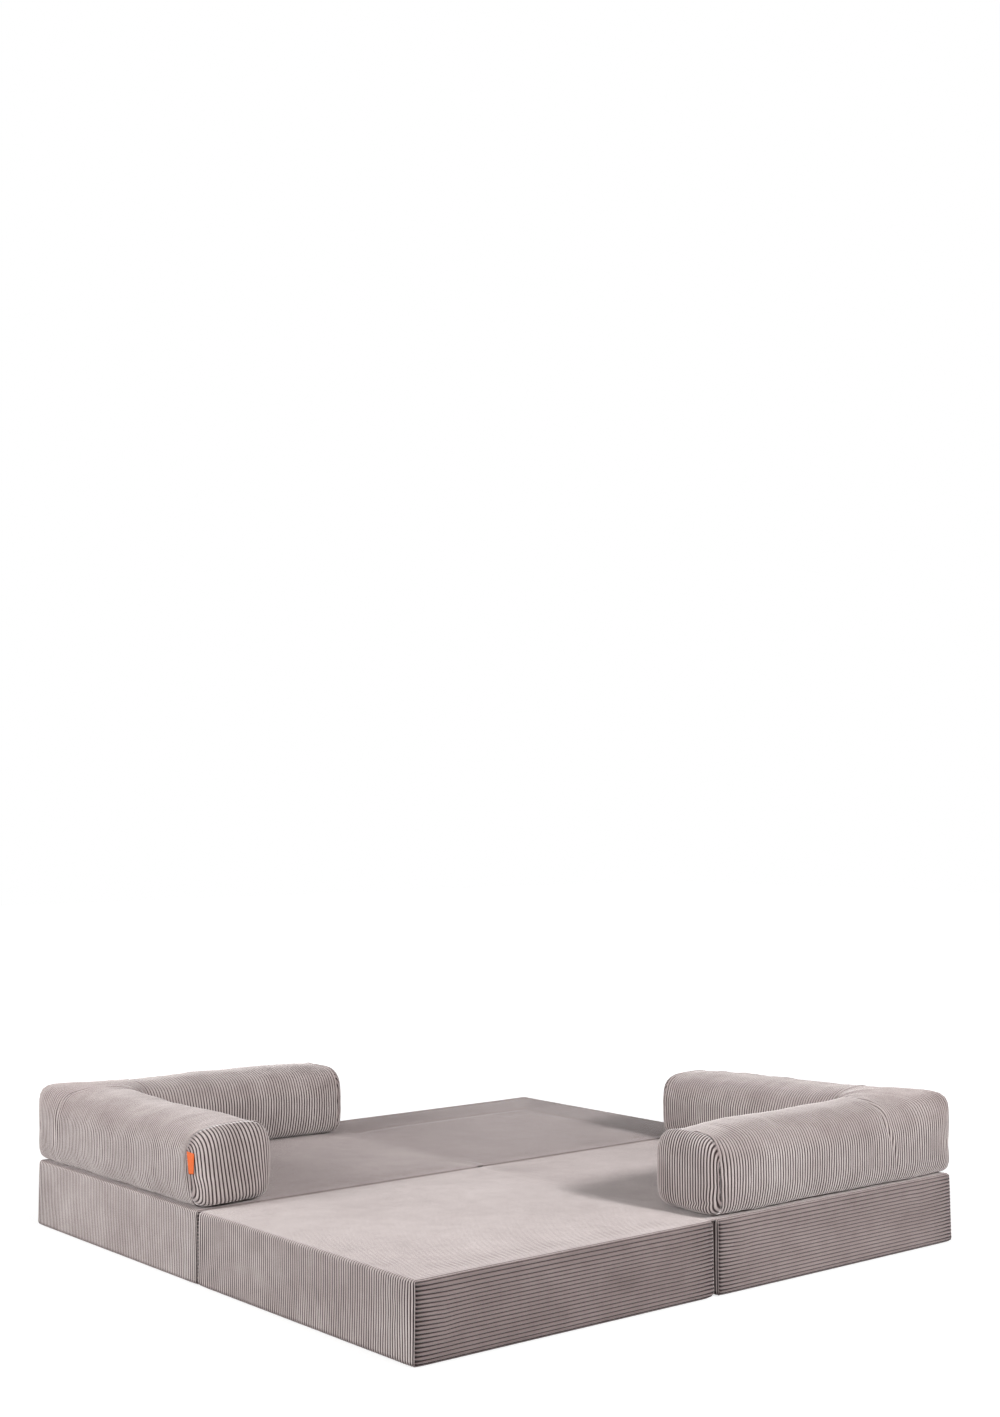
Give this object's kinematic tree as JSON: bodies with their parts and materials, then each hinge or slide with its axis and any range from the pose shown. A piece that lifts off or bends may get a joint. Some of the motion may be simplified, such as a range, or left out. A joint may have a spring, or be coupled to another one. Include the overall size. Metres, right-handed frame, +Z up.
{
  "type": "modular corduroy floor sofa",
  "caption": "Corduroy floor sofa opened out as a square bed: folding foam pads in removable covers, with an L-shaped bolster on each of two opposite corners.",
  "frame": {"origin": "middle of the opened bed, on the floor", "axes": "+Z up, +Y from the front unit to the rear unit, +X along the ribs of the pads' tops, square to the two fold lines"},
  "size_m": [1.5, 1.5, 0.3343],
  "materials": {
    "corduroy": "wide-wale cotton corduroy, warm grey taupe, ribs about 7.5 mm apart",
    "cotton_liner": "plain cotton lining",
    "foam": "open-cell polyurethane foam",
    "fibre_filling": "loose polyester fibre",
    "zip_tape": "woven polyester tape",
    "zip_chain": "moulded coil",
    "zip_slider": "satin grey",
    "label_tab": "plain woven orange tab"
  },
  "bodies": {
    "front_left_pad": {"front_left_cover": "corduroy", "front_left_liner": "cotton_liner", "front_left_foam": "foam", "front_left_zip_tape": "zip_tape", "front_left_zip_chain": "zip_chain"},
    "front_left_zip_slider": {"front_left_zip_slider": "zip_slider"},
    "front_right_pad": {"front_right_cover": "corduroy", "front_right_liner": "cotton_liner", "front_right_foam": "foam", "front_right_zip_tape": "zip_tape", "front_right_zip_chain": "zip_chain", "front_fold_strip": "corduroy"},
    "front_right_zip_slider": {"front_right_zip_slider": "zip_slider"},
    "rear_left_pad": {"rear_left_cover": "corduroy", "rear_left_liner": "cotton_liner", "rear_left_foam": "foam", "rear_left_zip_tape": "zip_tape", "rear_left_zip_chain": "zip_chain", "rear_fold_strip": "corduroy"},
    "rear_left_zip_slider": {"rear_left_zip_slider": "zip_slider"},
    "rear_right_pad": {"rear_right_cover": "corduroy", "rear_right_liner": "cotton_liner", "rear_right_foam": "foam", "rear_right_zip_tape": "zip_tape", "rear_right_zip_chain": "zip_chain"},
    "rear_right_zip_slider": {"rear_right_zip_slider": "zip_slider"},
    "right_bolster": {"right_bolster_cover": "corduroy", "right_bolster_side_cap": "corduroy", "right_bolster_fold_cap": "corduroy", "right_bolster_liner": "cotton_liner", "right_bolster_filling": "fibre_filling", "right_bolster_zip_tape": "zip_tape", "right_bolster_zip_chain": "zip_chain", "right_bolster_label": "label_tab"},
    "right_bolster_zip_slider": {"right_bolster_zip_slider": "zip_slider"},
    "left_bolster": {"left_bolster_cover": "corduroy", "left_bolster_side_cap": "corduroy", "left_bolster_fold_cap": "corduroy", "left_bolster_liner": "cotton_liner", "left_bolster_filling": "fibre_filling", "left_bolster_zip_tape": "zip_tape", "left_bolster_zip_chain": "zip_chain", "left_bolster_label": "label_tab"},
    "left_bolster_zip_slider": {"left_bolster_zip_slider": "zip_slider"}
  },
  "joints": [
    {"name": "front_fold", "type": "hinge", "parent": "front_right_pad", "child": "front_left_pad", "pos_m": [0, -0.375, 0.15], "axis": [0, 1, 0], "range_deg": [0, 90], "deforming": ["front_fold_strip"]},
    {"name": "rear_fold", "type": "hinge", "parent": "rear_left_pad", "child": "rear_right_pad", "pos_m": [0, 0.375, 0.15], "axis": [0, -1, 0], "range_deg": [0, 90], "deforming": ["rear_fold_strip"]},
    {"name": "units_apart", "type": "slide", "parent": "front_right_pad", "child": "rear_left_pad", "axis": [0, 1, 0], "range_m": [0, 0.6]},
    {"name": "right_bolster_lift", "type": "slide", "parent": "front_right_pad", "child": "right_bolster", "axis": [0, 0, 1], "range_m": [0, 0.3]},
    {"name": "left_bolster_lift", "type": "slide", "parent": "rear_left_pad", "child": "left_bolster", "axis": [0, 0, 1], "range_m": [0, 0.3]},
    {"name": "front_left_zip", "type": "slide", "parent": "front_left_pad", "child": "front_left_zip_slider", "axis": [0, 1, 0], "range_m": [0, 0.588]},
    {"name": "front_right_zip", "type": "slide", "parent": "front_right_pad", "child": "front_right_zip_slider", "axis": [0, 1, 0], "range_m": [0, 0.588]},
    {"name": "rear_left_zip", "type": "slide", "parent": "rear_left_pad", "child": "rear_left_zip_slider", "axis": [0, -1, 0], "range_m": [0, 0.588]},
    {"name": "rear_right_zip", "type": "slide", "parent": "rear_right_pad", "child": "rear_right_zip_slider", "axis": [0, -1, 0], "range_m": [0, 0.588]},
    {"name": "right_bolster_zip", "type": "slide", "parent": "right_bolster", "child": "right_bolster_zip_slider", "axis": [0, 1, 0], "range_m": [0, 0.448]},
    {"name": "left_bolster_zip", "type": "slide", "parent": "left_bolster", "child": "left_bolster_zip_slider", "axis": [0, -1, 0], "range_m": [0, 0.448]}
  ]
}
